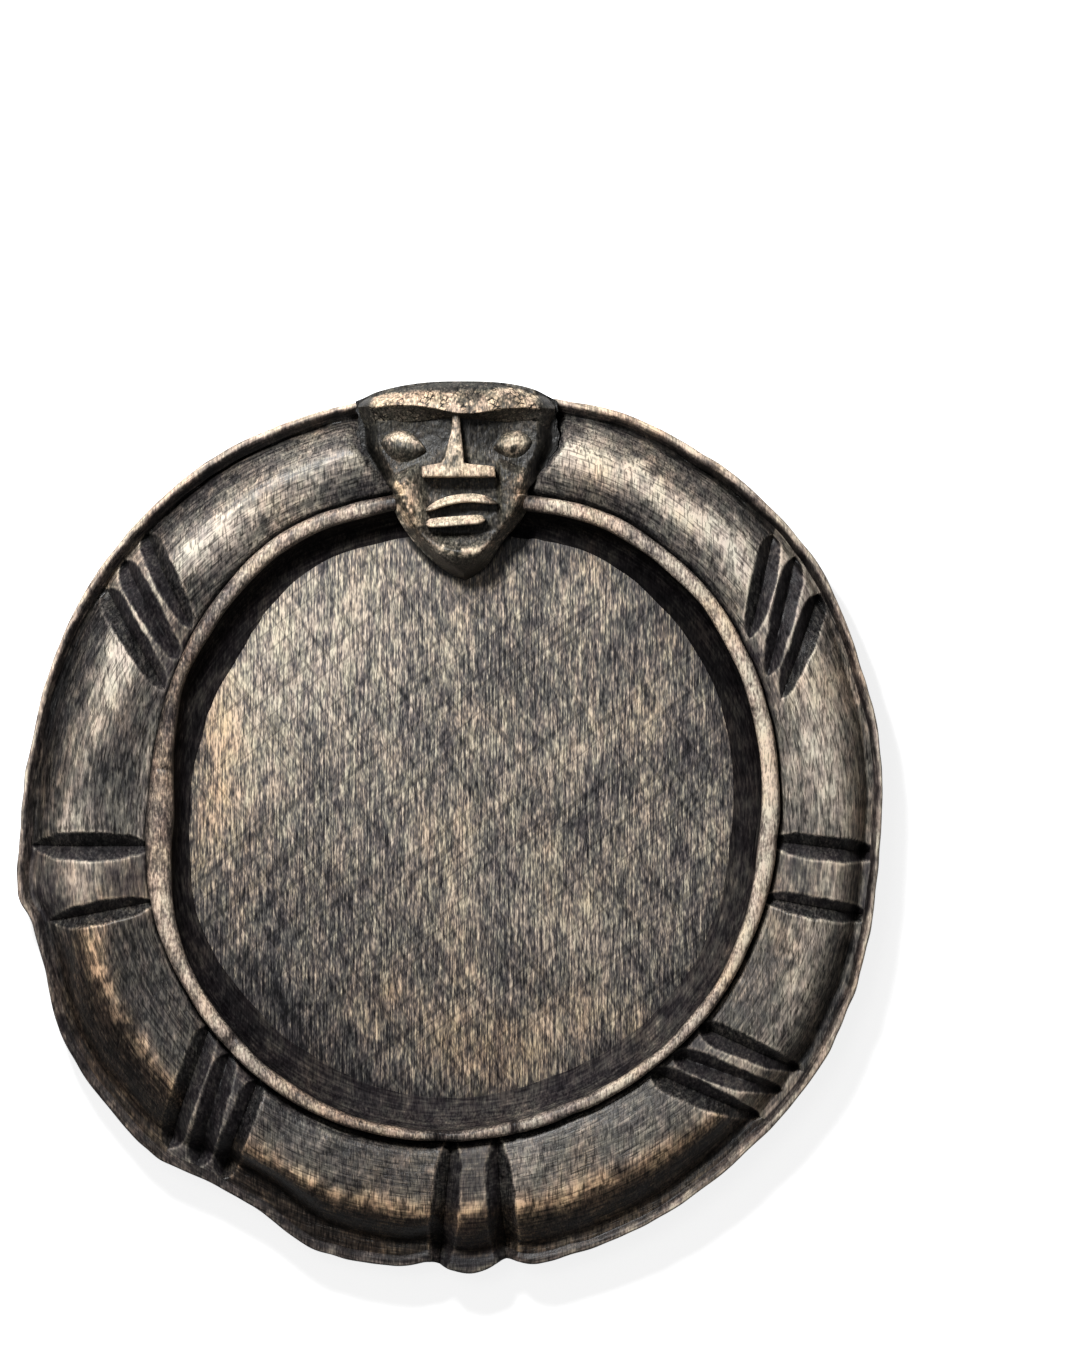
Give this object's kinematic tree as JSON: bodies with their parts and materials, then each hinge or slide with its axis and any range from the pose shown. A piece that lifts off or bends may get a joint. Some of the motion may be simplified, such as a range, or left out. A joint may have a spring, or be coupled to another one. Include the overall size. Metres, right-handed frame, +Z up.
{
  "type": "divination tray",
  "caption": "Round carved wooden divination tray with a sunken flat well, a raised bead, a swelling rim cut with bands of V grooves, a thin outer lip and a stylised carved head on the rim.",
  "frame": {"origin": "middle of the flat underside, under the centre of the round outer edge", "axes": "+Z up out of the well, +Y towards the carved head, +X to the right seen from above"},
  "size_m": [0.305, 0.3078, 0.0365],
  "materials": {
    "dyed_wood": "black-dyed hardwood, rubbed back, low sheen",
    "worn_wood": "dye worn through to pale wood on raised edges",
    "dark_wood": "black dye left deep in hollows and grooves"
  },
  "bodies": {
    "root": {"base_board": "dyed_wood", "cove_wall": "dark_wood", "inner_bead": "worn_wood", "lip_right": "worn_wood", "lip_left": "worn_wood", "rim_panel_1": "dyed_wood", "rim_panel_2": "dyed_wood", "rim_panel_3": "dyed_wood", "rim_panel_4": "dyed_wood", "rim_panel_5": "dyed_wood", "rim_panel_6": "dyed_wood", "rim_panel_7": "dyed_wood", "rim_panel_8": "dyed_wood", "band_upper_right": "dark_wood", "band_right": "dark_wood", "band_lower_right": "dark_wood", "band_bottom": "dark_wood", "band_lower_left": "dark_wood", "band_left": "dark_wood", "band_upper_left": "dark_wood", "head_block": "dyed_wood", "brow": "worn_wood", "nose": "worn_wood", "eye_left": "dyed_wood", "eye_right": "dyed_wood", "upper_lip": "worn_wood", "lower_lip": "worn_wood"}
  },
  "joints": []
}
